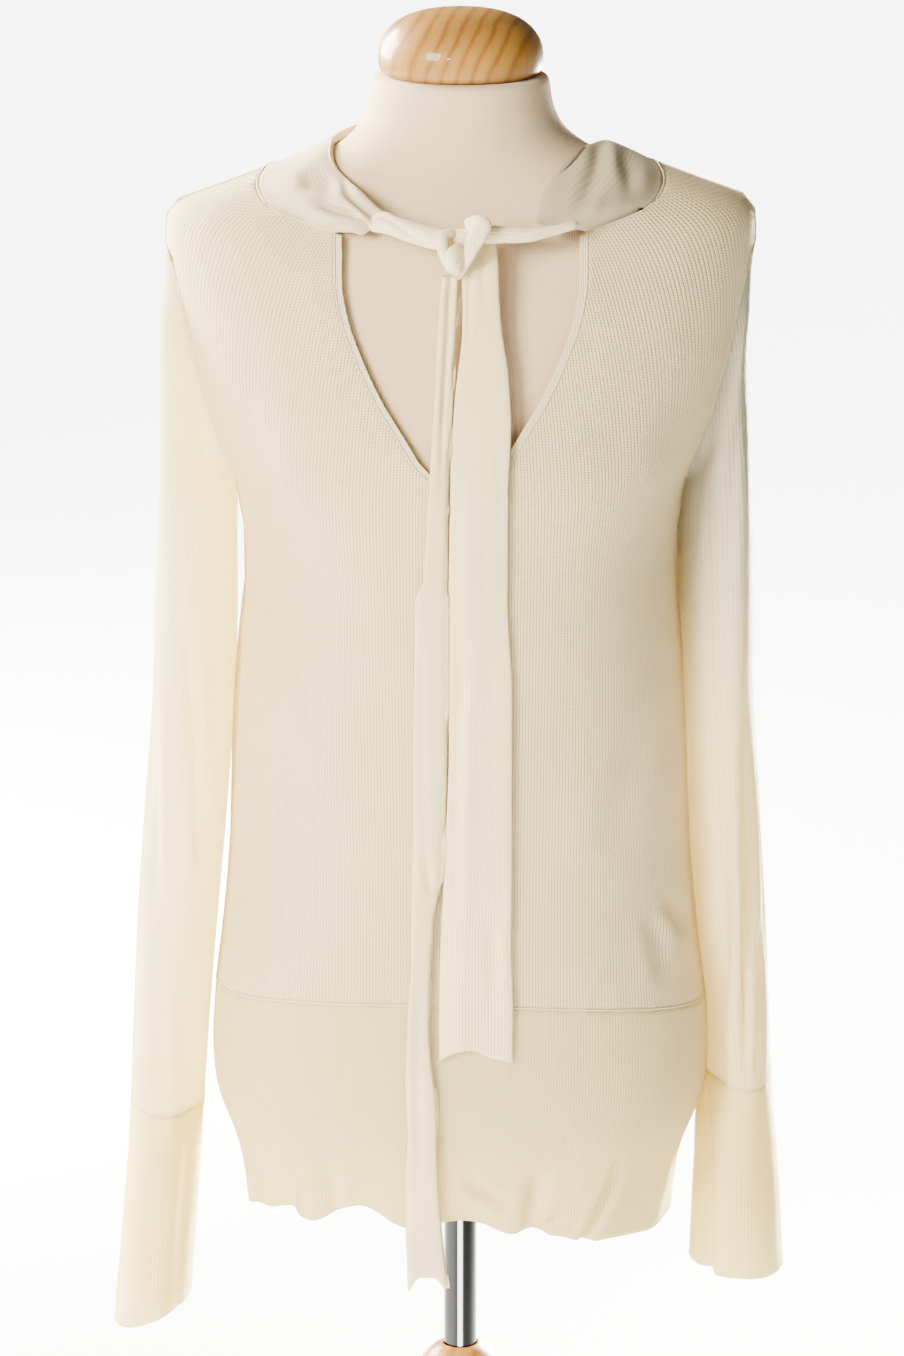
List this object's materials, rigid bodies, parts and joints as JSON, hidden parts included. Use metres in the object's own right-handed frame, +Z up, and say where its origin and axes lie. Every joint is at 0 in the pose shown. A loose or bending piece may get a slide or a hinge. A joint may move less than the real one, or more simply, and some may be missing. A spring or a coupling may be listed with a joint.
{
  "type": "tie-neck sweater on dress form",
  "caption": "Fine-knit long-sleeved sweater with a keyhole neck and knotted scarf collar, worn by a jersey-covered dress form with wooden neck cap, pole and round table base.",
  "frame": {"origin": "centre of the base's underside, on the pole's axis", "axes": "+Z up along the pole, -Y out of the garment's front, +X towards the wearer's left"},
  "size_m": [0.4265, 0.3, 0.9868],
  "materials": {
    "ivory_knit": "fine plain knit, matt with a soft nap",
    "sheer_knit": "fine plain knit in a single layer, lets light through",
    "form_jersey": "stretched fine rib jersey, matt",
    "varnished_wood": "clear varnish, satin gloss, straight grain",
    "chrome": "bright plated tube"
  },
  "bodies": {
    "root": {"front": "ivory_knit", "back": "ivory_knit", "keyhole_edging": "ivory_knit", "hem_band": "ivory_knit", "cuff_right": "ivory_knit", "cuff_left": "ivory_knit", "collar": "ivory_knit", "twist_right": "ivory_knit", "twist_left": "ivory_knit", "knot": "ivory_knit", "tie_wide": "ivory_knit", "tie_narrow": "ivory_knit", "sleeve_right": "sheer_knit", "sleeve_left": "sheer_knit", "dress_form": "form_jersey", "neck_cap": "varnished_wood", "column": "varnished_wood", "base": "varnished_wood", "pole": "chrome"}
  },
  "joints": []
}
